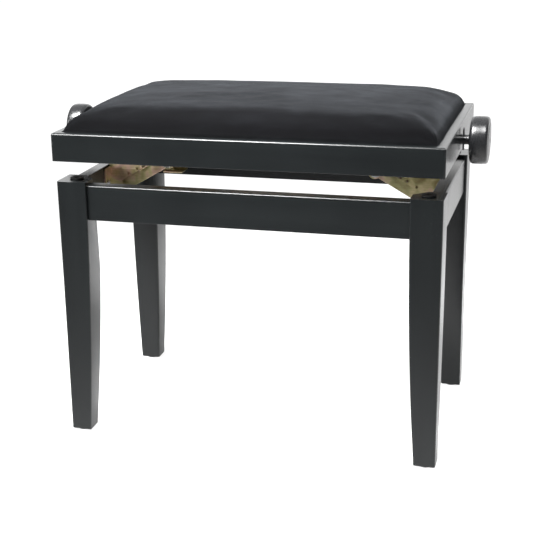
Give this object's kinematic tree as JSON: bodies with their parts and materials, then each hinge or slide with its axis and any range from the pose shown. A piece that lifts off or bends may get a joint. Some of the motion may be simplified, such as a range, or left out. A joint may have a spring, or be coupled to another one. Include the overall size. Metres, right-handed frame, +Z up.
{
  "type": "piano bench",
  "caption": "Height-adjustable piano bench: padded velvet seat on a wooden frame, carried by steel scissors that a spindle with two side knobs drives, over a base with tapered legs.",
  "frame": {"origin": "on the floor, under the middle of the bench", "axes": "+X along the seat towards the right knob, +Y towards the back, +Z up"},
  "size_m": [0.639, 0.35, 0.503],
  "materials": {
    "black_lacquer": "satin black lacquer on wood",
    "velvet": "black short-pile velvet",
    "plywood": "raw plywood",
    "knob_black": "satin black",
    "rubber": "matt black rubber",
    "black_plastic": "matt black plastic",
    "yellow_chromate": "zinc plated, yellow-iridescent chromate",
    "bright_steel": "bright steel",
    "dark_steel": "blackened steel"
  },
  "bodies": {
    "base": {"leg_front_left": "black_lacquer", "leg_front_right": "black_lacquer", "leg_back_left": "black_lacquer", "leg_back_right": "black_lacquer", "base_rail_front": "black_lacquer", "base_rail_back": "black_lacquer", "base_rail_left": "black_lacquer", "base_rail_right": "black_lacquer", "foot_glide_front_left": "black_plastic", "foot_glide_front_right": "black_plastic", "foot_glide_back_left": "black_plastic", "foot_glide_back_right": "black_plastic", "leg_buffer_front_left": "rubber", "leg_buffer_front_right": "rubber", "leg_buffer_back_left": "rubber", "leg_buffer_back_right": "rubber", "corner_bracket_front_left": "yellow_chromate", "corner_bracket_front_right": "yellow_chromate", "corner_bracket_back_left": "yellow_chromate", "corner_bracket_back_right": "yellow_chromate", "corner_bolt_front_left": "bright_steel", "corner_bolt_front_right": "bright_steel", "corner_bolt_back_left": "bright_steel", "corner_bolt_back_right": "bright_steel", "lower_bracket_left": "yellow_chromate", "lower_bracket_right": "yellow_chromate", "lower_bracket_screw_left_front": "bright_steel", "lower_bracket_screw_left_back": "bright_steel", "lower_bracket_screw_right_front": "bright_steel", "lower_bracket_screw_right_back": "bright_steel", "lower_pivot_pin_left": "bright_steel", "lower_pivot_pin_right": "bright_steel"},
    "seat": {"seat_rail_front": "black_lacquer", "seat_rail_back": "black_lacquer", "seat_rail_left": "black_lacquer", "seat_rail_right": "black_lacquer", "seat_panel": "plywood", "seat_cushion": "velvet", "upper_bracket_left": "yellow_chromate", "upper_bracket_right": "yellow_chromate", "spindle_bushing_left": "knob_black", "spindle_bushing_right": "knob_black"},
    "spindle": {"spindle": "bright_steel", "knob_left": "knob_black", "knob_right": "knob_black", "split_pin_left": "dark_steel", "split_pin_right": "dark_steel", "thrust_washer_left": "bright_steel", "thrust_washer_right": "bright_steel"},
    "travelling_nut_left": {"travelling_nut_left": "bright_steel"},
    "long_arm_left": {"long_arm_left": "yellow_chromate", "middle_pin_left": "bright_steel"},
    "short_arm_left": {"short_arm_left": "yellow_chromate"},
    "travelling_nut_right": {"travelling_nut_right": "bright_steel"},
    "long_arm_right": {"long_arm_right": "yellow_chromate", "middle_pin_right": "bright_steel"},
    "short_arm_right": {"short_arm_right": "yellow_chromate"}
  },
  "joints": [
    {"name": "seat_lift", "type": "slide", "parent": "base", "child": "seat", "axis": [0, 0, 1], "range_m": [-0.0285, 0.06]},
    {"name": "spindle_turn", "type": "hinge", "parent": "seat", "child": "spindle", "pos_m": [0, 0, 0.441], "axis": [1, 0, 0], "range_deg": [-1427, 3003]},
    {"name": "nut_travel_left", "type": "slide", "parent": "seat", "child": "travelling_nut_left", "axis": [-1, 0, 0], "range_m": [-0.0199, 0.0418]},
    {"name": "long_arm_pivot_left", "type": "hinge", "parent": "base", "child": "long_arm_left", "pos_m": [-0.243, 0, 0.347], "axis": [0, -1, 0], "range_deg": [-10.6, 22.2]},
    {"name": "short_arm_pivot_left", "type": "hinge", "parent": "seat", "child": "short_arm_left", "pos_m": [-0.243, 0, 0.441], "axis": [0, 1, 0], "range_deg": [-10.6, 22.2]},
    {"name": "nut_travel_right", "type": "slide", "parent": "seat", "child": "travelling_nut_right", "axis": [1, 0, 0], "range_m": [-0.0199, 0.0418]},
    {"name": "long_arm_pivot_right", "type": "hinge", "parent": "base", "child": "long_arm_right", "pos_m": [0.243, 0, 0.347], "axis": [0, 1, 0], "range_deg": [-10.6, 22.2]},
    {"name": "short_arm_pivot_right", "type": "hinge", "parent": "seat", "child": "short_arm_right", "pos_m": [0.243, 0, 0.441], "axis": [0, -1, 0], "range_deg": [-10.6, 22.2]}
  ],
  "couplings": [
    {"joint": "spindle_turn", "follows": "seat_lift", "rad_per_m": 873.36},
    {"joint": "nut_travel_left", "follows": "seat_lift", "ratio": 0.695},
    {"joint": "long_arm_pivot_left", "follows": "seat_lift", "rad_per_m": 6.4507},
    {"joint": "short_arm_pivot_left", "follows": "seat_lift", "rad_per_m": 6.4507},
    {"joint": "nut_travel_right", "follows": "seat_lift", "ratio": 0.695},
    {"joint": "long_arm_pivot_right", "follows": "seat_lift", "rad_per_m": 6.4507},
    {"joint": "short_arm_pivot_right", "follows": "seat_lift", "rad_per_m": 6.4507}
  ]
}
